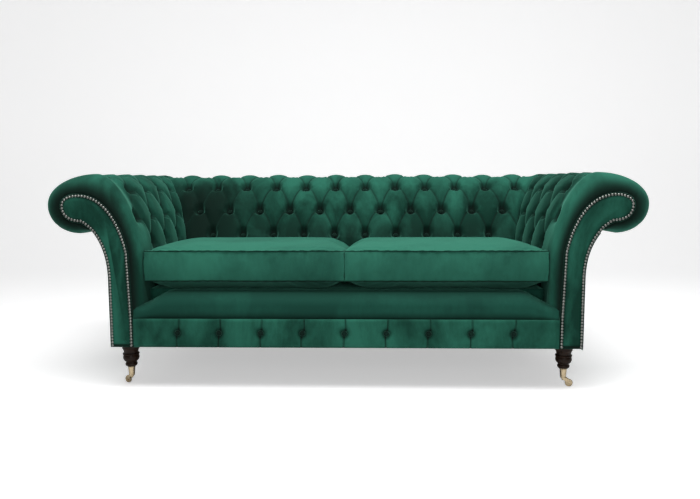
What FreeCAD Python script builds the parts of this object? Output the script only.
"""Three-seat scroll-arm sofa with a deep-buttoned back and arms, two loose seat cushions and castor feet.

Millimetres, +Z up, +X to the sitter's left as seen from the front (right in a front view).
Everything is drawn with y = 0 on the front of the arm facings, y growing towards the back.
save() then moves it so that the origin is the centre of the footprint, on the floor.
"""

import FreeCAD, Part
import math
import os

V = FreeCAD.Vector

# Overall seat box, between the inside arms and in front of the inside back
seat_half_width = 745.0
seat_depth_line = 635.0
base_bottom = 160.0
border_top = 267.0
deck_top = 362.0
fit_gap = 0.3
pad_bottom = border_top + fit_gap

# Upholstered wall: how far its outline lies behind the seat box, at four heights
back_pad_bottom = 285.0
knee_z = 510.0
roll_top = 797.0
roll_widest = 680.0
roll_low = 577.0
notch_z = 586.0
arm_top_out = 165.0
arm_roll_out = 353.0
arm_notch_out = 190.0
back_top_out = 240.0
back_roll_out = 340.0
back_notch_out = 262.0

# How softly the wall bends: shares of the set-out, and runs before each turn
arm_lean = (0.08, 0.53)
back_lean = (0.25, 0.58)
knee_rise = 110.0
arm_crest_run = 90.0
back_crest_run = 50.0
roll_drop = 75.0
under_drop = 58.0
arm_under_in = 116.0
arm_under_run = 65.0
back_under_in = 60.0
back_under_run = 35.0

# Frame side of the padding, behind the seat box
pad_thickness = 62.0
lean_z = 560.0
rail_below_roll = 157.0
rail_depth = 28.0
arm_rail_in = 100.0
arm_rail_out = 172.0
back_lean_in = 85.0
back_rail_in = 150.0
back_rail_out = 247.0
pad_end_z = 590.0
post_clearance = 1.0

# Deep buttoning
arm_pitch = 165.0
arm_first_button = 130.0
mitre_fade = 30.0
front_swings = (0, 25, 50, 72, 90)
back_pitch = 141.0
button_radius = 11.0
button_height = 7.0
button_rim = 3.0
well_half = 13.0
well_depth = 40.0
pleat_depth = 15.0
corner_pleat = 14.0
rows = (1.07, 1.352, 1.663, 2.0)
row_reach = (0.035, 0.035)
top_row_reach = (0.075, 0.15)

# Arm facing, from the seat box outwards
facing_set_out = 30.0
facing_width = 90.0
facing_overhang = 165.0
facing_head_top = 727.0
facing_head_low = 617.0
facing_lean = 8.0
scroll_rise = 90.0
scroll_bend = (17.0, 67.0)
scroll_crest_in = 60.0
scroll_crest_run = 40.0
scroll_side_rise = 22.0
scroll_side_drop = 38.0
scroll_foot_in = 70.0
scroll_foot_run = 40.0
flare_out = 60.0
flare_drop = 19.0
flare_bend = (25.0, 1.0)
flare_bend_z = (560.0, 500.0)
flare_foot_z = 420.0
notch_inset = (0.6, 0.5)
facing_thickness = 14.0
scroll_board_thickness = 25.0
wall_front_y = 6.0
wall_full_y = 70.0
nail_radius = 4.6
nail_height = 2.8
nail_pitch = 11.2
nail_inset = 10.0
nail_foot_gap = 8.0
edge_steps = 24

# Outer covers and frame timber
board_clearance = 1.2
panel_thickness = 8.0
panel_top = 585.4
panel_tuck = 1.0
back_panel_out = 250.0
timber = 25.0
seat_rail_gap = 3.0
post_width = 45.0
post_count = 3
springs_between_posts = 4
block_width = 75.0
block_height = 40.0
tacking_low = 380.0
tacking_high = 420.0
cloth = 1.2

# Front border and seat edge
border_depth = 14.0
border_front_y = 6.0
border_bulge = 4.0
border_shoulder = 0.6
border_puff_share = 0.4
border_shoulder_share = 0.25
border_button_pitch = 153.5
border_buttons_each_side = 4
lip_front_y = 12.0
lip_radius = 46.0
lip_back_y = 110.0
lip_foot = 6.0

# Seat cushions
cushion_front_y = 50.0
cushion_low_seam = 398.0
cushion_high_seam = 513.0
cushion_crown = 17.0
cushion_belly_run = 110.0
cushion_bulge = 7.0
cushion_draw_in = 6.0
cushion_back_bulge = 0.5
cushion_gap = 1.5
cushion_on_deck = 2.0
core_inset = 24.0
belly_shoulder = (0.4, 0.62)

# How a cushion rounds off at its sides: distance in, height drawn in, share of the crown and of the belly
cushion_ends = ((0.0, 9.0, 0.03, 0.05), (5.0, 2.5, 0.12, 0.2), (16.0, 0.0, 0.3, 0.45), (50.0, 0.0, 0.62, 0.8),
                (110.0, 0.0, 0.88, 1.0))

# Springs
spring_count = 12
spring_wire = 1.9
spring_loop = 24.0
spring_half_width = 22.0
clip_length = 18.0
clip_width = 11.0
clip_height = 6.0
deck_bottom = 280.0

# Feet and castors
front_leg_out = 71.0
front_leg_y = 80.0
rear_leg_out = 45.0
rear_leg_inset = 70.0
rear_leg_top = 52.0
rear_leg_foot = 36.0
rear_leg_rake = 18.0
glide_radius = 12.0
glide_height = 5.0
plate_size = 60.0
plate_thickness = 2.0
bolt_radius = 4.0
bolt_clearance = 0.15
bolt_reach = 36.0
leg_top_radius = 32.0
leg_neck_radius = 19.5
leg_vase_radius = 30.0
leg_collar_radius = 31.0
leg_bead_radius = 22.4
leg_foot_z = 69.0
spigot_radius = 11.0
spigot_length = 13.0
cup_rim_radius = 14.6
cup_foot_radius = 10.5
wheel_radius = 14.5
wheel_width = 10.0
wheel_trail = 21.0
right_wheel_heading = -15.0
left_wheel_heading = 31.0
axle_radius = 2.5
axle_head = 3.8
running_gap = 0.06
side_play = 0.4
pintle_radius = 4.0
pintle_length = 17.0
fork_wall = 2.4
fork_clearance = 2.0
crown_radius = 9.0
crown_thickness = 3.0
rivet_radius = 5.0

# Values that follow from those above
rail_top = roll_top - rail_below_roll
rail_underside = rail_top - rail_depth
overall_depth = seat_depth_line + back_roll_out + nail_height
to_origin = V(0, nail_height - overall_depth / 2.0, 0)
facing_in = seat_half_width + facing_set_out
facing_out = facing_in + facing_width
facing_reach = facing_out + facing_overhang
back_plane = seat_depth_line + back_panel_out
seat_rail_y = seat_depth_line + pad_thickness + seat_rail_gap
timber_bottom = base_bottom + cloth + fit_gap
rail_front_y = border_front_y + border_depth
front_rail_back = rail_front_y + timber
board_back_y = facing_thickness + scroll_board_thickness
panel_inner_x = facing_out - panel_thickness
panel_inner_y = back_plane - panel_thickness
side_rail_in = panel_inner_x - timber
front_leg_x = seat_half_width + front_leg_out
rear_leg_x = seat_half_width + rear_leg_out
rear_leg_y = back_plane - rear_leg_inset
leg_top_z = base_bottom - plate_thickness
spring_z = border_top + spring_wire + fit_gap


# Small helpers

def save(node, *shapes):
    """Writes one sub-part, moved to the part's own origin."""
    solids = [s for shape in shapes for s in shape.Solids]
    group = Part.makeCompound(solids)
    group.translate(to_origin)
    bad = [s for s in group.Solids if not s.isValid() or s.Volume <= 0]
    print(node, len(group.Solids), "solids", round(group.Volume / 1000.0), "cm3", "BAD" if bad else "")
    group.exportStep("parts/%s.step" % node)


def block(x0, x1, y0, y1, z0, z1):
    return Part.makeBox(x1 - x0, y1 - y0, z1 - z0, V(x0, y0, z0))


def mirrored(shape):
    return shape.mirror(V(0, 0, 0), V(1, 0, 0))


def both(shape):
    return [shape, mirrored(shape)]


def cubic(a, b, c, d, t):
    """A point of a cubic Bezier curve, in one coordinate."""
    s = 1.0 - t
    return a * s ** 3 + 3 * b * t * s ** 2 + 3 * c * t ** 2 * s + d * t ** 3


def solid_from(faces):
    """One closed solid out of flat faces that share their edges."""
    shell = Part.makeShell(faces)
    shell.sewShape()
    solid = Part.makeSolid(shell)
    if solid.Volume < 0:
        solid.reverse()
    return solid


def corners(points, tolerance=0.01):
    """The points in order, without the ones that fall on their neighbour."""
    kept = []
    for p in points:
        if not kept or kept[-1].distanceToPoint(p) > tolerance:
            kept.append(p)
    if len(kept) > 1 and kept[0].distanceToPoint(kept[-1]) <= tolerance:
        kept.pop()
    return kept


def flat(points):
    """One flat face through the points."""
    p = corners(points)
    return [Part.Face(Part.makePolygon(p + [p[0]]))] if len(p) > 2 else []


def quad(p00, p10, p11, p01, rising):
    """Two triangles, folded along the diagonal that the pleat follows."""
    if rising:
        return flat([p00, p10, p11]) + flat([p00, p11, p01])
    return flat([p00, p10, p01]) + flat([p10, p11, p01])


# Section of the upholstered wall. u runs 0 to 5: seat side, inside curve, top of roll, under roll, notch

def wall(u):
    """Distance behind the seat box on an arm and on the back, and height, at u."""
    k = min(int(u), 4)
    t = u - k
    if k == 0:
        return 0.0, 0.0, pad_bottom + (knee_z - pad_bottom) * t
    if k == 1:
        arm = cubic(0, arm_lean[0] * arm_top_out, arm_lean[1] * arm_top_out, arm_top_out, t)
        back = cubic(0, back_lean[0] * back_top_out, back_lean[1] * back_top_out, back_top_out, t)
        return arm, back, cubic(knee_z, knee_z + knee_rise, roll_top, roll_top, t)
    if k == 2:
        arm = cubic(arm_top_out, arm_top_out + arm_crest_run, arm_roll_out, arm_roll_out, t)
        back = cubic(back_top_out, back_top_out + back_crest_run, back_roll_out, back_roll_out, t)
        return arm, back, cubic(roll_top, roll_top, roll_widest + roll_drop, roll_widest, t)
    arm_low = arm_roll_out - arm_under_in
    back_low = back_roll_out - back_under_in
    if k == 3:
        arm = cubic(arm_roll_out, arm_roll_out, arm_low + arm_under_run, arm_low, t)
        back = cubic(back_roll_out, back_roll_out, back_low + back_under_run, back_low, t)
        return arm, back, cubic(roll_widest, roll_widest - under_drop, roll_low, roll_low, t)
    arm = arm_low + (arm_notch_out - arm_low) * t
    back = back_low + (back_notch_out - back_low) * t
    return arm, back, roll_low + (notch_z - roll_low) * t


def across(u, which):
    """Unit vector out of the padding at u, as (behind the seat box, up)."""
    step = 0.002
    lo, hi = wall(max(u - step, 0)), wall(min(u + step, 5))
    run, rise = hi[which] - lo[which], hi[2] - lo[2]
    size = math.hypot(run, rise)
    return -rise / size, run / size


def well_edges(n):
    """The u at which the wells of button row n begin and end; they are longer where the roll is sharply bent."""
    below, above = top_row_reach if n == 3 else row_reach
    return rows[n] - below, rows[n] + above


def section_lines():
    """The u of each line of the padding, with one either side of each button row."""
    lines = [0.0, 0.55, 0.9]
    for n, row in enumerate(rows):
        lines += well_edges(n)
        if n < 3:
            lines.append((row + rows[n + 1]) / 2)
    return lines + [2.3, 2.5, 2.7, 2.85, 3.0, 3.2, 3.4, 3.7, 4.0, 5.0]


def frame_corners():
    """Corners of the frame side of the padding, each on a line of the section: u, arm, back, height."""
    planned = ((0, pad_thickness, pad_thickness, pad_bottom), (1.0, pad_thickness, pad_thickness, knee_z),
               (1.3, pad_thickness, back_lean_in, lean_z), (1.8, arm_rail_in, back_rail_in, rail_top),
               (3.4, arm_rail_out, back_rail_out, rail_top), (5.0, arm_rail_out, back_rail_out, pad_end_z))
    us = section_lines()
    return [(min(us, key=lambda v: abs(v - u)), a, b, z) for u, a, b, z in planned]


def inside(u):
    """The frame side of the padding: distance behind the seat box on arm and back, and height."""
    planned = frame_corners()
    for (u0, a0, b0, z0), (u1, a1, b1, z1) in zip(planned, planned[1:]):
        if u <= u1:
            t = (u - u0) / (u1 - u0)
            return a0 + (a1 - a0) * t, b0 + (b1 - b0) * t, z0 + (z1 - z0) * t


def facing(u, inset=0.0):
    """Roll side of the facing's outline at u, as (x, z)."""
    k = min(int(u), 4)
    t = u - k
    top, low, reach = facing_head_top - inset, facing_head_low + inset, facing_reach - inset
    inner, knee_x = facing_in + inset, facing_in + inset + facing_lean
    crest_x, foot_x = reach - scroll_crest_in, reach - scroll_foot_in
    if k == 0:
        return inner + facing_lean * t, pad_bottom + (knee_z - pad_bottom) * t
    if k == 1:
        x = cubic(knee_x, knee_x + scroll_bend[0], knee_x + scroll_bend[1], crest_x, t)
        return x, cubic(knee_z, knee_z + scroll_rise, top, top, t)
    if k == 2:
        x = cubic(crest_x, crest_x + scroll_crest_run, reach, reach, t)
        return x, cubic(top, top, roll_widest + scroll_side_rise, roll_widest, t)
    if k == 3:
        x = cubic(reach, reach, foot_x + scroll_foot_run, foot_x, t)
        return x, cubic(roll_widest, roll_widest - scroll_side_drop, low, low, t)
    notch = outer_edge(0.0, inset)
    return foot_x + (notch[0] - foot_x) * t, low + (notch[1] - low) * t


def outer_edge(t, inset=0.0):
    """Outer side of the facing and of the outside arm, from the notch down to the straight part, as (x, z)."""
    out = facing_out - inset
    start_x = facing_out + flare_out - notch_inset[0] * inset
    start_z = facing_head_low - flare_drop + notch_inset[1] * inset
    x = cubic(start_x, out + flare_bend[0], out + flare_bend[1], out, t)
    return x, cubic(start_z, flare_bend_z[0], flare_bend_z[1], flare_foot_z, t)


# Deep buttoning

def hump(x):
    """0 on a pleat, 1 midway between two pleats."""
    return 1.0 - (1.0 - 2.0 * x) ** 3


def to_whole(x):
    return abs(x - round(x))


def row_number(u):
    """Button rows count 0 to 3 from the seat up; in between they are fractions."""
    for n in range(3):
        if u <= rows[n + 1]:
            return n + (u - rows[n]) / (rows[n + 1] - rows[n])
    return 3 + (u - rows[3])


def sink(column, u):
    """How deep the cover lies at a column (whole on rows 0 and 2) and a section parameter."""
    b = row_number(u)
    if b < 0:
        near = hump(to_whole(column))
        well = pleat_depth + (well_depth - pleat_depth) * max(0.0, 1 + b * 1.6)
        return (well - pleat_depth) * (1 - near) ** 2 + pleat_depth * (1 - near ** 2)
    if b > 3:
        near = hump(to_whole(column + 0.5))
        well = pleat_depth + (well_depth - pleat_depth) * max(0.0, 1 - (b - 3) * 4)
        return (well - pleat_depth) * (1 - near) ** 2 + pleat_depth * (1 - near ** 2)
    p, q = hump(to_whole(column + b / 2)), hump(to_whole(column - b / 2))
    return (well_depth - pleat_depth) * (1 - p) * (1 - q) + pleat_depth * (1 - p * q)


def column_lines(first, step, count):
    """Places along the wall, with a line either side of each button column and one between columns."""
    lines = []
    for k in range(count):
        centre = first + k * step
        lines += [centre - well_half, centre + well_half]
        if k < count - 1:
            lines.append(centre + step / 2)
    return lines


def in_well(s, u, first, step):
    """True where a button sits, so that the padding is flat there."""
    for n in range(4):
        begins, ends = well_edges(n)
        if begins - 0.001 <= u <= ends + 0.001:
            k = round((s - first) / step)
            return k % 2 == (n + 1) % 2 and abs(s - first - k * step) <= well_half + 0.01
    return False


def mitre(u, theta):
    """Where the wall turns the rear corner; past the roll's top it swings round it by theta."""
    arm, back, z = wall(u)
    if u <= 2:
        pleat = corner_pleat * (1 if u < 1.9 else 0)
        return V(seat_half_width + arm + pleat, seat_depth_line + back + pleat, z)
    x = seat_half_width + arm_top_out + (arm - arm_top_out) * math.cos(theta)
    y = seat_depth_line + back_top_out + (back - back_top_out) * math.sin(theta)
    return V(x, y, z)


def rises(column, u):
    """True if the pleat in this cell climbs from front to back."""
    b = row_number(u)
    return b < 0 or b > 3 or (math.floor(column * 2) + math.floor(b)) % 2 == 0


corner_steps = (0.0, math.radians(15), math.radians(30), math.radians(45))


def arm_padding():
    """The right inside arm and its roll, tufted, rounded at the front, mitred at the back."""
    board_back = facing_thickness + scroll_board_thickness + fit_gap
    us = section_lines()
    half = arm_pitch / 2
    ys = column_lines(arm_first_button, half, 9)

    def outer(u):
        arm, back, z = wall(u)
        fx, fz = facing(u)
        line = []
        for swing in front_swings:
            a = math.radians(swing)
            x = fx + (seat_half_width + arm - fx) * math.sin(a)
            y = wall_full_y - (wall_full_y - wall_front_y) * math.cos(a)
            line.append(V(x, y, fz + (z - fz) * math.sin(a)))
        n_out, n_up = across(u, 0)
        end = mitre(u, 0.0)
        for y in ys:
            column = (y - arm_first_button - half) / arm_pitch
            depth = well_depth if in_well(y, u, arm_first_button, half) else sink(column, u)
            left = min(1.0, max(0.0, (seat_depth_line + back - y) / mitre_fade)) if u <= 2 else 1.0
            depth = depth * left + corner_pleat * (1 - left)
            if y >= end.y - 1:
                line.append(end)
            else:
                line.append(V(seat_half_width + arm - n_out * depth, y, z - n_up * depth))
        return line + [mitre(u, theta) for theta in corner_steps]

    grid = [outer(u) for u in us]
    frame_side = []
    for u in us:
        a, b, z = inside(u)
        frame_side.append((V(seat_half_width + a, board_back, z), V(seat_half_width + a, seat_depth_line + b, z)))
    rim = [[V(x, y, z) for y in (wall_front_y, board_back)] for x, z in (facing(u) for u in us)]
    faces = []
    lead = 5
    for i in range(len(us) - 1):
        middle = (us[i] + us[i + 1]) / 2
        for j in range(len(grid[0]) - 1):
            y = (grid[i][j].y + grid[i][j + 1].y) / 2
            up = rises((y - arm_first_button - half) / arm_pitch, middle) if j >= lead else True
            faces += quad(grid[i][j], grid[i][j + 1], grid[i + 1][j + 1], grid[i + 1][j], up)
        (a0, a1), (b0, b1) = frame_side[i], frame_side[i + 1]
        faces += flat([a0, a1, b1, b0])
        faces += flat([rim[i][0], rim[i][1], rim[i + 1][1], rim[i + 1][0]])
        faces += quad(grid[i][-1], a1, b1, grid[i + 1][-1], True)
    faces += flat([r[1] for r in rim] + [f[0] for f in reversed(frame_side)])
    for edge in (0, -1):
        ring = grid[edge] + [frame_side[edge][1], frame_side[edge][0], rim[edge][1]]
        if edge == 0:
            faces += flat(ring)
        else:
            inner = [frame_side[-1][1], frame_side[-1][0], rim[-1][1]]
            faces += notch_strip(grid[-1], inner)
    return solid_from(faces)


def notch_strip(outer, inner):
    """Closes the padding under the roll, fanning its outline onto the few points of the frame side."""
    faces = []
    mitre_in, front_in, rim_in = inner
    split = next(j for j, p in enumerate(outer) if p.y > front_in.y)
    for a, b in zip(outer[:split], outer[1:split + 1]):
        faces += flat([a, b, rim_in])
    faces += flat([outer[split], front_in, rim_in])
    for a, b in zip(outer[split:], outer[split + 1:]):
        faces += flat([a, b, front_in])
    faces += flat([outer[-1], mitre_in, front_in])
    return faces


def back_padding():
    """The inside back and its roll, tufted, mitred at both ends."""
    us = section_lines()
    half = back_pitch / 2
    reach = 12
    xs = column_lines(-reach * half, half, 2 * reach + 1)
    swings = [math.pi / 2 - a for a in corner_steps]

    def outer(u):
        arm, back, z = wall(u)
        z = max(z, back_pad_bottom)
        n_out, n_up = across(u, 1)
        end = mitre(u, math.pi / 2)
        right = [mitre(u, theta) for theta in swings]
        line = [V(-p.x, p.y, max(p.z, z)) for p in reversed(right)]
        for x in xs:
            column = x / back_pitch - 0.5
            depth = well_depth if in_well(x, u, 0.0, half) else sink(column, u)
            left = min(1.0, max(0.0, (seat_half_width + arm - abs(x)) / mitre_fade)) if u <= 2 else 1.0
            depth = depth * left + corner_pleat * (1 - left)
            if abs(x) >= end.x - 1:
                line.append(V(math.copysign(end.x, x), end.y, max(end.z, z)))
            else:
                line.append(V(x, seat_depth_line + back - n_out * depth, z - n_up * depth))
        return line + [V(p.x, p.y, max(p.z, z)) for p in right]

    grid = [outer(u) for u in us]
    frame_side = []
    for u in us:
        a, b, z = inside(u)
        z = max(z, back_pad_bottom)
        x, y = seat_half_width + a, seat_depth_line + b
        frame_side.append((V(-x, y, z), V(x, y, z)))
    faces = []
    for i in range(len(us) - 1):
        middle = (us[i] + us[i + 1]) / 2
        for j in range(len(grid[0]) - 1):
            x = (grid[i][j].x + grid[i][j + 1].x) / 2
            faces += quad(grid[i][j], grid[i][j + 1], grid[i + 1][j + 1], grid[i + 1][j],
                          rises(x / back_pitch - 0.5, middle))
        (a0, a1), (b0, b1) = frame_side[i], frame_side[i + 1]
        faces += flat([a0, a1, b1, b0])
        faces += quad(grid[i][0], a0, b0, grid[i + 1][0], True)
        faces += quad(grid[i][-1], a1, b1, grid[i + 1][-1], True)
    faces += flat(grid[0] + [frame_side[0][1], frame_side[0][0]])
    last = grid[-1]
    near, far = frame_side[-1]
    middle = len(last) // 2
    for a, b in zip(last[:middle], last[1:middle + 1]):
        faces += flat([a, b, near])
    faces += flat([last[middle], near, far])
    for a, b in zip(last[middle:], last[middle + 1:]):
        faces += flat([a, b, far])
    return solid_from(faces)


# Buttons

def cap_arc(radius, height, base):
    """Arc of a round cap in the xz plane, from its rim at (radius, base) to its top on the z axis."""
    ball = (radius ** 2 + height ** 2) / (2 * height)
    lean = 0.5 * math.asin(radius / ball)
    middle = V(ball * math.sin(lean), 0, base + height - ball + ball * math.cos(lean))
    return Part.Arc(V(radius, 0, base), middle, V(0, 0, base + height)).toShape()


def domed_button():
    """A covered button: flat back on z = 0, domed face towards +z."""
    r, rim = button_radius, button_rim
    sides = Part.makePolygon([V(0, 0, button_height), V(0, 0, 0), V(r, 0, 0), V(r, 0, rim)]).Edges
    return turned(sides + [cap_arc(r, button_height - rim, rim)], 0, 0)


def placed(shape, spot, facing_way):
    """A copy of the shape with its +z turned to facing_way, at spot."""
    copy = shape.copy()
    copy.Placement = FreeCAD.Placement(spot, FreeCAD.Rotation(V(0, 0, 1), facing_way))
    return copy


def wall_buttons(which, first, step, count, limit):
    """Buttons in their wells; which is 0 on the right arm and 1 on the back, limit drops those past the mitre."""
    button = domed_button()
    found = []
    for n, row in enumerate(rows):
        for k in range(count):
            s = first + k * step
            if not in_well(s, row, first if which == 0 else 0.0, step) or abs(s) > limit(row):
                continue
            spots = []
            for u in well_edges(n):
                behind, z = wall(u)[which], wall(u)[2]
                n_out, n_up = across(u, which)
                spots.append((behind - n_out * well_depth, z - n_up * well_depth))
            (b0, z0), (b1, z1) = spots
            size = math.hypot(b1 - b0, z1 - z0)
            out, up = (z0 - z1) / size, (b1 - b0) / size
            behind = (b0 + b1) / 2 + out * fit_gap
            z = (z0 + z1) / 2 + up * fit_gap
            if which == 0:
                found.append(placed(button, V(seat_half_width + behind, s, z), V(out, 0, up)))
            else:
                found.append(placed(button, V(s, seat_depth_line + behind, z), V(0, out, up)))
    return found


# Arm fronts

def fractions(count):
    return [i / float(count) for i in range(count + 1)]


def roll_side(inset, last_u):
    """Points of the facing's roll side from the seat up, as (x, z), on the same lines as the padding round it."""
    return [facing(u, inset) for u in section_lines() if u <= last_u]


def facing_outline(inset):
    outer = [outer_edge(t, inset) for t in fractions(edge_steps)[1:]]
    ends = [(facing_out - inset, base_bottom), (facing_in + inset, base_bottom)]
    return roll_side(inset, 5.0) + outer + ends


def board_outline():
    """The scroll board keeps inside the outside arm, which laps it."""
    outer = [(x - panel_thickness - fit_gap, z) for x, z in outside_outline()[:-1]]
    ends = [(outer[-1][0], timber_bottom), (facing_in + board_clearance, timber_bottom)]
    return roll_side(board_clearance, 5.0) + outer + ends


def plate_from(outline, y0, y1):
    """A flat plate with the (x, z) outline, from y0 to y1."""
    points = corners([V(x, y0, z) for x, z in outline])
    return Part.Face(Part.makePolygon(points + [points[0]])).extrude(V(0, y1 - y0, 0))


def domed_nail():
    """A nail head: flat on y = 0, domed towards -y."""
    sides = Part.makePolygon([V(0, 0, nail_height), V(0, 0, 0), V(nail_radius, 0, 0)]).Edges
    return placed(turned(sides + [cap_arc(nail_radius, nail_height, 0)], 0, 0), V(0, 0, 0), V(0, -1, 0))


def facing_nails():
    """Nail heads in one close row, from the foot of the facing round the scroll and down to the foot again."""
    foot = base_bottom + nail_foot_gap
    line = [(facing_in + nail_inset, foot)]
    line += [facing(5.0 * t, nail_inset) for t in fractions(400)]
    line += [outer_edge(t, nail_inset) for t in fractions(100)[1:]]
    line.append((facing_out - nail_inset, foot))
    lengths = [math.dist(a, b) for a, b in zip(line, line[1:])]
    count = int(round(sum(lengths) / nail_pitch))
    pitch = sum(lengths) / count
    nail = domed_nail()
    heads = []
    walked = 0.0
    for a, b, length in zip(line, line[1:], lengths):
        while len(heads) <= count and len(heads) * pitch <= walked + length + 0.001:
            t = (len(heads) * pitch - walked) / length
            heads.append(nail.translated(V(a[0] + (b[0] - a[0]) * t, 0, a[1] + (b[1] - a[1]) * t)))
        walked += length
    return heads


# Outside panels

def outside_outline():
    """Outer side of the outside arm, from under the roll down to the base, as (x, z)."""
    points = [p for p in (outer_edge(t) for t in fractions(edge_steps)) if p[1] < panel_top]
    return [(points[0][0] + panel_tuck, panel_top)] + points + [(facing_out, base_bottom)]


def outside_arm():
    outer = outside_outline()
    inner = [(x - panel_thickness, z) for x, z in reversed(outer)]
    return plate_from(outer + inner, facing_thickness + fit_gap, back_plane - panel_thickness - fit_gap)


def outside_back():
    outer = outside_outline()
    mirror = [(-x, z) for x, z in reversed(outer)]
    return plate_from(outer + mirror, back_plane - panel_thickness, back_plane)


# Front border, seat edge and deck

def border_columns():
    n = border_buttons_each_side
    return [k * border_button_pitch for k in range(-n, n + 1)]


def front_border():
    """Padded band under the seat edge, drawn in at each button."""
    half = facing_in + board_clearance - fit_gap
    low, proud = border_front_y, border_front_y - border_bulge
    plan = [(-half, low + border_depth), (-half, low)]
    puff, shoulder = border_puff_share * border_button_pitch, border_shoulder_share * border_button_pitch
    for x in border_columns():
        plan += [(x - puff, proud), (x - shoulder, proud + border_shoulder), (x - well_half, low)]
        plan += [(x + well_half, low), (x + shoulder, proud + border_shoulder), (x + puff, proud)]
    plan += [(half, low), (half, low + border_depth)]
    points = [V(x, y, base_bottom) for x, y in plan]
    return Part.Face(Part.makePolygon(points + [points[0]])).extrude(V(0, 0, border_top - base_bottom))


def border_buttons():
    z = (base_bottom + border_top) / 2
    return [placed(domed_button(), V(x, border_front_y - fit_gap, z), V(0, -1, 0)) for x in border_columns()]


def seat_lip():
    """Rolled edge along the front of the seat, standing on the front rail."""
    half = seat_half_width - fit_gap
    low = border_top + fit_gap
    step_y = rail_front_y + lip_foot
    shoulder = V(-half, lip_front_y, deck_top - lip_radius)
    crest = V(-half, lip_front_y + lip_radius, deck_top)
    bow = lip_radius * (1 - math.sqrt(0.5))
    arc = Part.Arc(shoulder, V(-half, lip_front_y + bow, deck_top - bow), crest).toShape()
    under = [crest, V(-half, lip_back_y, deck_top), V(-half, lip_back_y, deck_bottom), V(-half, step_y, deck_bottom),
             V(-half, step_y, low), V(-half, lip_front_y, low), shoulder]
    outline = Part.Wire([arc] + Part.makePolygon(under).Edges)
    return Part.Face(outline).extrude(V(2 * half, 0, 0))


# Seat cushions

def cushion_section(x, shrink, crown, belly, draw):
    """One cross-section of a cushion, front to back, as a closed wire at x."""
    y0, y1 = cushion_front_y + shrink + draw, seat_depth_line - cushion_gap - shrink - draw
    low, high = cushion_low_seam + shrink, cushion_high_seam - shrink
    middle, half_way = (y0 + y1) / 2, (low + high) / 2
    bulge = cushion_bulge - shrink / 2
    run, near, dip = cushion_belly_run, cushion_belly_run * belly_shoulder[0], belly_shoulder[1]
    points = [V(x, y0, high), V(x, middle, high + crown), V(x, y1, high), V(x, y1 + cushion_back_bulge, half_way),
              V(x, y1, low), V(x, y1 - near, low - dip * belly), V(x, y1 - run, low - belly),
              V(x, y0 + run, low - belly), V(x, y0 + near, low - dip * belly), V(x, y0, low),
              V(x, y0 - bulge, half_way)]
    arcs = [Part.Arc(points[a], points[b], points[c]).toShape() for a, b, c in
            ((0, 1, 2), (2, 3, 4), (4, 5, 6))]
    flat_run = Part.makeLine(points[6], points[7])
    front = [Part.Arc(points[7], points[8], points[9]).toShape(), Part.Arc(points[9], points[10], points[0]).toShape()]
    return Part.Wire(arcs + [flat_run] + front)


def right_cushion():
    """The cover and core of the right-hand cushion."""
    x0, x1 = cushion_gap / 2, seat_half_width - cushion_gap
    belly = cushion_low_seam - deck_top + cushion_on_deck
    sections = []
    middle = (x0 + x1) / 2
    half = (x1 - x0) / 2

    def section(x, shrink, crown, sag):
        draw = cushion_draw_in * (1 - ((x - middle) / half) ** 2)
        return cushion_section(x, shrink, crown * cushion_crown, sag * belly, draw)

    for inset, shrink, crown, sag in cushion_ends:
        sections.append(section(x0 + inset, shrink, crown, sag))
    sections.append(section(middle, 0.0, 1.0, 1.0))
    for inset, shrink, crown, sag in reversed(cushion_ends):
        sections.append(section(x1 - inset, shrink, crown, sag))
    cover = Part.makeLoft(sections, True, True)
    above_deck = block(x0 - 1, x1 + 1, 0, seat_rail_y, deck_top + fit_gap, roll_top)
    cover = cover.common(above_deck)
    hollow = core_inset - fit_gap
    y0, y1 = cushion_front_y, seat_depth_line - cushion_gap
    cover = cover.cut(block(x0 + hollow, x1 - hollow, y0 + hollow, y1 - hollow,
                            cushion_low_seam - fit_gap, cushion_high_seam - hollow / 2))
    core = block(x0 + core_inset, x1 - core_inset, y0 + core_inset, y1 - core_inset,
                 cushion_low_seam, cushion_high_seam - core_inset / 2)
    return cover, core


# Timber frame

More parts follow.
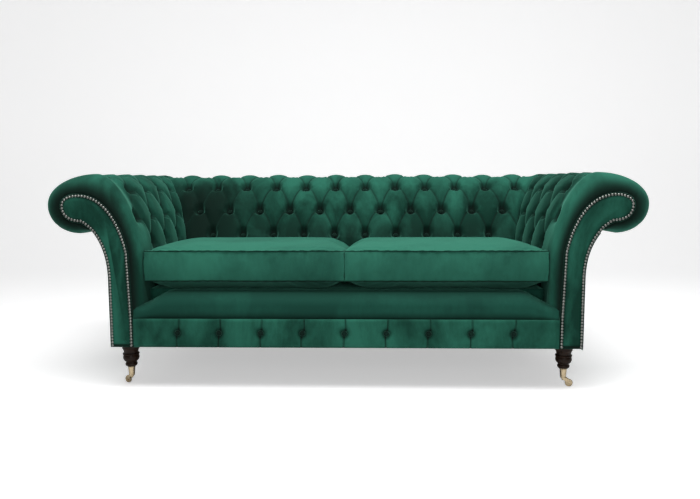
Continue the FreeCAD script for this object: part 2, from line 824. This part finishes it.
def seat_frame():
    """Saves the rails, posts and blocks that carry the seat, arms and back."""
    low, top = timber_bottom, border_top
    rail_end = facing_in + board_clearance
    save("front_rail", block(-rail_end, rail_end, rail_front_y, front_rail_back, low, top))
    save("rear_rail", block(-side_rail_in, side_rail_in, panel_inner_y - timber, panel_inner_y, low, top))
    save("spring_rail", block(-side_rail_in, side_rail_in, seat_rail_y, seat_rail_y + timber, low, top))
    side = block(side_rail_in, panel_inner_x, board_back_y, panel_inner_y, low, top)
    save("right_side_rail", side)
    save("left_side_rail", mirrored(side))
    post_in = seat_half_width + pad_thickness + post_clearance
    t = (rail_underside - lean_z) / (rail_top - lean_z)
    post_top = post_in + (arm_rail_in - pad_thickness) * t
    outline = [(post_in, top), (post_in, lean_z), (post_top, rail_underside),
               (panel_inner_x, rail_underside), (panel_inner_x, top)]
    post = plate_from(outline, seat_rail_y, seat_rail_y + post_width)
    save("right_arm_post", post)
    save("left_arm_post", mirrored(post))
    rail_in, rail_out = seat_half_width + arm_rail_in + fit_gap, seat_half_width + arm_rail_out - fit_gap
    rail_back = seat_depth_line + back_rail_out - fit_gap
    arm_rail = block(rail_in, rail_out, board_back_y, rail_back, rail_underside, rail_top - fit_gap)
    save("right_arm_rail", arm_rail)
    save("left_arm_rail", mirrored(arm_rail))
    back_rail_front = seat_depth_line + back_rail_in + fit_gap
    save("back_top_rail", block(-rail_in, rail_in, back_rail_front, rail_back, rail_underside, rail_top - fit_gap))
    tacking = block(post_in, post_in + timber, board_back_y, seat_rail_y, tacking_low, tacking_high)
    save("arm_tacking_rails", *both(tacking))
    save("back_posts", *[raked_post(x) for x in post_places()])
    blocks = both(block(side_rail_in - block_width, side_rail_in, front_rail_back, front_rail_back + block_width,
                        low, low + block_height))
    rear_y = panel_inner_y - timber
    blocks += both(block(side_rail_in - block_width, side_rail_in, rear_y - block_width, rear_y,
                         low, low + block_height))
    bores = [bolt_hole(x, y, 0, low + bolt_reach) for x, y in leg_places()]
    save("corner_blocks", *[b.cut(Part.makeCompound(bores)) for b in blocks])


def spring_spacing():
    return 2 * seat_half_width / (spring_count + 1)


def post_places():
    """The uprights stand midway between springs."""
    pitch = springs_between_posts * spring_spacing()
    return [(k - (post_count - 1) / 2.0) * pitch for k in range(post_count)]


def raked_post(x):
    """An upright of the back, cut to the lean of the inside back."""
    front = [(border_top, pad_thickness), (knee_z, pad_thickness), (lean_z, back_lean_in)]
    t = (rail_underside - lean_z) / (rail_top - lean_z)
    front.append((rail_underside, back_lean_in + (back_rail_in - back_lean_in) * t))
    outline = [V(x - timber / 2, seat_depth_line + behind + post_clearance, z) for z, behind in front]
    outline += [p + V(0, post_width, 0) for p in reversed(outline)]
    return Part.Face(Part.makePolygon(outline + [outline[0]])).extrude(V(timber, 0, 0))


# Springs

def zigzag_spring(x):
    """A flat sinuous spring: cross bars joined by half turns, one end in a clip on each rail."""
    first, last = rail_front_y + timber / 2, seat_rail_y + timber / 2
    bars = int(round((last - first) / spring_loop))
    pitch = (last - first) / bars
    r = pitch / 2
    edges = []
    for k in range(bars + 1):
        y = first + k * pitch
        way = 1 if k % 2 == 0 else -1
        a, b = V(x - way * spring_half_width, y, spring_z), V(x + way * spring_half_width, y, spring_z)
        edges.append(Part.makeLine(a, b))
        if k < bars:
            bow = r * math.sqrt(0.5)
            tip = b + V(way * r, r, 0)
            edges.append(Part.Arc(b, b + V(way * bow, r - bow, 0), tip).toShape())
            edges.append(Part.Arc(tip, b + V(way * bow, r + bow, 0), b + V(0, pitch, 0)).toShape())
    path = Part.Wire(edges)
    start = V(x - spring_half_width, first, spring_z)
    section = Part.Wire(Part.makeCircle(spring_wire, start, V(1, 0, 0)))
    spring = path.makePipeShell([section], True, False)
    return spring, path.Length


def springs_and_clips():
    places = [(k - (spring_count - 1) / 2.0) * spring_spacing() for k in range(spring_count)]
    spring, length = zigzag_spring(0)
    expected = length * math.pi * spring_wire ** 2
    print("spring volume", round(spring.Volume), "of", round(expected), "least gap between bars",
          round(spring_loop - 2 * spring_wire, 1))
    save("seat_springs", *[spring.translated(V(x, 0, 0)) for x in places])
    clips = []
    for y in (rail_front_y + timber / 2, seat_rail_y + timber / 2):
        for x in places:
            clip = block(x - clip_length / 2, x + clip_length / 2, y - clip_width / 2, y + clip_width / 2,
                         border_top, border_top + clip_height)
            groove = Part.makeCylinder(spring_wire + bolt_clearance, clip_length + 2,
                                       V(x - clip_length / 2 - 1, y, spring_z), V(1, 0, 0))
            clips.append(clip.cut(groove))
    save("spring_clips", *clips)


# Legs

def leg_places():
    """Centres of the four feet."""
    return [(side * x, y) for x, y in ((front_leg_x, front_leg_y), (rear_leg_x, rear_leg_y)) for side in (1, -1)]


def bolt_hole(x, y, z0, z1):
    return Part.makeCylinder(bolt_radius + bolt_clearance, z1 - z0, V(x, y, z0))


def turned(outline, x, y):
    """A solid of revolution about the upright line through (x, y); the outline is edges in the xz plane."""
    solid = Part.Face(Part.Wire(outline)).revolve(V(0, 0, 0), V(0, 0, 1), 360)
    return solid.translated(V(x, y, 0))


def lines(*points):
    return Part.makePolygon([V(r, 0, z) for r, z in points]).Edges


def bow(a, b, c):
    return [Part.Arc(V(a[0], 0, a[1]), V(b[0], 0, b[1]), V(c[0], 0, c[1])).toShape()]


def front_leg():
    """Turned leg: block, collar, vase, neck and bead, with a spigot for the castor cup."""
    foot, neck, vase = leg_foot_z, leg_neck_radius, leg_vase_radius
    shoulder = cup_rim_radius + 1.5
    vase_low, vase_top = foot + 18, foot + 44
    top = leg_top_z
    outline = lines((0, foot - spigot_length), (spigot_radius, foot - spigot_length), (spigot_radius, foot),
                    (shoulder, foot))
    outline += bow((shoulder, foot), (leg_bead_radius, foot + 8), (neck, foot + 15.5))
    outline += lines((neck, foot + 15.5), (neck, vase_low))
    outline += bow((neck, vase_low), (vase - 3.2, vase_low + 6.5), (vase, vase_low + 16))
    outline += bow((vase, vase_low + 16), (vase - 0.4, vase_low + 21), (vase - 2, vase_top))
    outline += lines((vase - 2, vase_top), (vase - 3.5, vase_top + 1.5))
    outline += bow((vase - 3.5, vase_top + 1.5), (leg_collar_radius, vase_top + 5), (vase - 3.5, vase_top + 8.5))
    outline += lines((vase - 3.5, vase_top + 8.5), (vase - 3.5, vase_top + 11))
    outline += bow((vase - 3.5, vase_top + 11), (leg_collar_radius - 2.5, vase_top + 20),
                   (leg_top_radius, vase_top + 26))
    outline += lines((leg_top_radius, vase_top + 26), (leg_top_radius, top), (0, top), (0, foot - spigot_length))
    leg = turned(outline, front_leg_x, front_leg_y)
    return leg.cut(bolt_hole(front_leg_x, front_leg_y, leg_top_z - bolt_reach, leg_top_z + 1))


def rear_leg():
    """Square leg, tapered and raked to the back and outwards."""
    def square(x, y, z, size):
        h = size / 2
        ring = [V(x - h, y - h, z), V(x + h, y - h, z), V(x + h, y + h, z), V(x - h, y + h, z)]
        return Part.Wire(Part.makePolygon(ring + [ring[0]]))

    rake = rear_leg_rake
    leg = Part.makeLoft([square(rear_leg_x, rear_leg_y, leg_top_z, rear_leg_top),
                         square(rear_leg_x + rake / 2, rear_leg_y + rake, glide_height, rear_leg_foot)], True, True)
    return leg.cut(bolt_hole(rear_leg_x, rear_leg_y, leg_top_z - bolt_reach, leg_top_z + 1))


def legs():
    leg = front_leg()
    save("right_front_leg", leg)
    save("left_front_leg", mirrored(leg))
    leg = rear_leg()
    save("right_rear_leg", leg)
    save("left_rear_leg", mirrored(leg))
    glide = Part.makeCylinder(glide_radius, glide_height,
                              V(rear_leg_x + rear_leg_rake / 2, rear_leg_y + rear_leg_rake, 0))
    save("rear_glides", *both(glide))
    plates, bolts = [], []
    for x, y in leg_places():
        h = plate_size / 2
        plate = block(x - h, x + h, y - h, y + h, leg_top_z, base_bottom)
        plates.append(plate.cut(bolt_hole(x, y, leg_top_z - 1, base_bottom + 1)))
        low, high = leg_top_z - bolt_reach, timber_bottom + bolt_reach
        bolts.append(Part.makeCylinder(bolt_radius, high - low, V(x, y, low)))
    save("leg_plates", *plates)
    save("leg_bolts", *bolts)
    sheet = block(-panel_inner_x + fit_gap, panel_inner_x - fit_gap, border_front_y + border_depth + fit_gap,
                  panel_inner_y - fit_gap, base_bottom, base_bottom + cloth)
    holes = [bolt_hole(x, y, 0, roll_top) for x, y in leg_places()]
    save("dust_cover", sheet.cut(Part.makeCompound(holes)))


# Castors

def castor():
    """Saves cup, horn, axle and wheel of both castors, drawn round the leg's middle with the wheel towards +x."""
    crown_low = 2 * wheel_radius + fork_clearance
    crown_top = crown_low + crown_thickness
    cup_low = crown_top + fit_gap
    cup_top = leg_foot_z - fit_gap
    outline = lines((0, cup_low), (cup_foot_radius, cup_low), (cup_foot_radius + 0.6, cup_low + 3),
                    (cup_rim_radius - 1.6, cup_top - 4))
    outline += bow((cup_rim_radius - 1.6, cup_top - 4), (cup_rim_radius, cup_top - 2), (cup_rim_radius - 0.6, cup_top))
    outline += lines((cup_rim_radius - 0.6, cup_top), (0, cup_top), (0, cup_low))
    cup = turned(outline, 0, 0)
    socket_low = leg_foot_z - spigot_length
    cup = cup.cut(Part.makeCylinder(spigot_radius + bolt_clearance, spigot_length, V(0, 0, socket_low)))
    bore = Part.makeCylinder(pintle_radius + running_gap, pintle_length + 1.0, V(0, 0, crown_top))
    cup = cup.cut(bore)

    outer = wheel_width / 2 + side_play + fork_wall
    crown = Part.makeCylinder(crown_radius, crown_thickness, V(0, 0, crown_low))
    pintle = Part.makeCylinder(pintle_radius, pintle_length, V(0, 0, crown_top))
    rivet_z = crown_low - rivet_radius + 0.8
    rivet = Part.makeSphere(rivet_radius, V(0, 0, rivet_z))
    horn = crown.fuse([pintle, rivet])
    hub = wheel_radius
    cheek = Part.Wire(arm_outline(crown_low, crown_top, hub))
    for side in (-1, 1):
        arm = Part.Face(cheek).extrude(V(0, fork_wall, 0))
        arm.translate(V(0, outer - fork_wall if side > 0 else -outer, 0))
        horn = horn.fuse(arm)
    bridge = block(-crown_radius * 0.6, crown_radius, -outer, outer, crown_low, crown_top)
    horn = horn.fuse(bridge).removeSplitter()
    pin_hole = Part.makeCylinder(axle_radius + running_gap, 4 * outer, V(wheel_trail, -2 * outer, hub), V(0, 1, 0))
    horn = horn.cut(pin_hole)

    axle = Part.makeCylinder(axle_radius, 2 * outer, V(wheel_trail, -outer, hub), V(0, 1, 0))
    head = Part.makeCylinder(axle_head, 1.2, V(wheel_trail, outer, hub), V(0, 1, 0))
    tail = Part.makeCylinder(axle_head, 1.2, V(wheel_trail, -outer - 1.2, hub), V(0, 1, 0))
    axle = axle.fuse([head, tail]).removeSplitter()

    shapes = {"castor_cup": cup, "castor_horn": horn, "castor_axle": axle, "castor_wheel": castor_wheel(hub)}
    for name, shape in shapes.items():
        save("right_" + name, at_leg(shape, right_wheel_heading))
        save("left_" + name, mirrored(at_leg(shape, left_wheel_heading)))


def at_leg(shape, heading):
    """A copy of a castor piece under the right front leg, turned so that its wheel trails along heading."""
    copy = shape.copy()
    turn = FreeCAD.Rotation(V(0, 0, 1), heading)
    copy.Placement = FreeCAD.Placement(V(front_leg_x, front_leg_y, 0), turn).multiply(shape.Placement)
    return copy


def arm_outline(crown_low, crown_top, hub):
    """One cheek of the fork, from the crown down to a round end on the axle."""
    boss = axle_head + 1.6
    a, b = V(-crown_radius * 0.6, 0, crown_top), V(crown_radius, 0, crown_top)
    c, d = V(wheel_trail + boss, 0, hub), V(wheel_trail - boss, 0, hub)
    over = Part.Arc(b, V(wheel_trail - 1.5, 0, crown_low - 2.5), c).toShape()
    under = Part.Arc(c, V(wheel_trail, 0, hub - boss), d).toShape()
    inner = Part.makeLine(d, V(-crown_radius * 0.6, 0, crown_low))
    return [Part.makeLine(a, b), over, under, inner, Part.makeLine(V(-crown_radius * 0.6, 0, crown_low), a)]


def castor_wheel(hub):
    """Wheel with a slightly rounded tread and a sunk web on both faces."""
    half, r = wheel_width / 2, wheel_radius
    tread = 1.5
    outline = [Part.makeLine(V(0, -half, 0), V(r - tread, -half, 0)),
               Part.Arc(V(r - tread, -half, 0), V(r, 0, 0), V(r - tread, half, 0)).toShape(),
               Part.makeLine(V(r - tread, half, 0), V(0, half, 0)),
               Part.makeLine(V(0, half, 0), V(0, -half, 0))]
    wheel = Part.Face(Part.Wire(outline)).revolve(V(0, 0, 0), V(0, 1, 0), 360)
    for side in (-1, 1):
        y = half - 1.2 if side > 0 else -half - 0.5
        ring = Part.makeCylinder(r - 3.5, 1.7, V(0, y, 0), V(0, 1, 0))
        ring = ring.cut(Part.makeCylinder(axle_head + 1.4, 1.7, V(0, y, 0), V(0, 1, 0)))
        wheel = wheel.cut(ring)
    wheel = wheel.cut(Part.makeCylinder(axle_radius + running_gap, 2 * wheel_width, V(0, -wheel_width, 0), V(0, 1, 0)))
    return wheel.translated(V(wheel_trail, 0, hub))


# The whole sofa

os.makedirs("parts", exist_ok=True)

arm_pad = arm_padding()
save("right_inside_arm", arm_pad)
save("left_inside_arm", mirrored(arm_pad))
save("inside_back", back_padding())

arm_set = wall_buttons(0, arm_first_button, arm_pitch / 2, 9, lambda u: seat_depth_line + wall(u)[1] - mitre_fade)
save("right_arm_buttons", *arm_set)
save("left_arm_buttons", *[mirrored(b) for b in arm_set])
save("back_buttons", *wall_buttons(1, -6 * back_pitch, back_pitch / 2, 25,
                                   lambda u: seat_half_width + wall(u)[0] - mitre_fade))

front = plate_from(facing_outline(board_clearance), 0, facing_thickness)
save("right_facing", front)
save("left_facing", mirrored(front))
board = plate_from(board_outline(), facing_thickness, board_back_y)
save("right_scroll_board", board)
save("left_scroll_board", mirrored(board))
nails = facing_nails()
print("nails on each facing", len(nails))
save("right_facing_nails", *nails)
save("left_facing_nails", *[mirrored(n) for n in nails])

panel = outside_arm()
save("right_outside_arm", panel)
save("left_outside_arm", mirrored(panel))
save("outside_back", outside_back())

save("front_border", front_border())
save("border_buttons", *border_buttons())
save("seat_lip", seat_lip())
deck_half = seat_half_width - fit_gap
save("seat_deck", block(-deck_half, deck_half, lip_back_y + fit_gap, seat_depth_line - fit_gap, deck_bottom, deck_top))

cover, core = right_cushion()
save("right_cushion_cover", cover)
save("right_cushion_core", core)
save("left_cushion_cover", mirrored(cover))
save("left_cushion_core", mirrored(core))

seat_frame()
springs_and_clips()
legs()
castor()
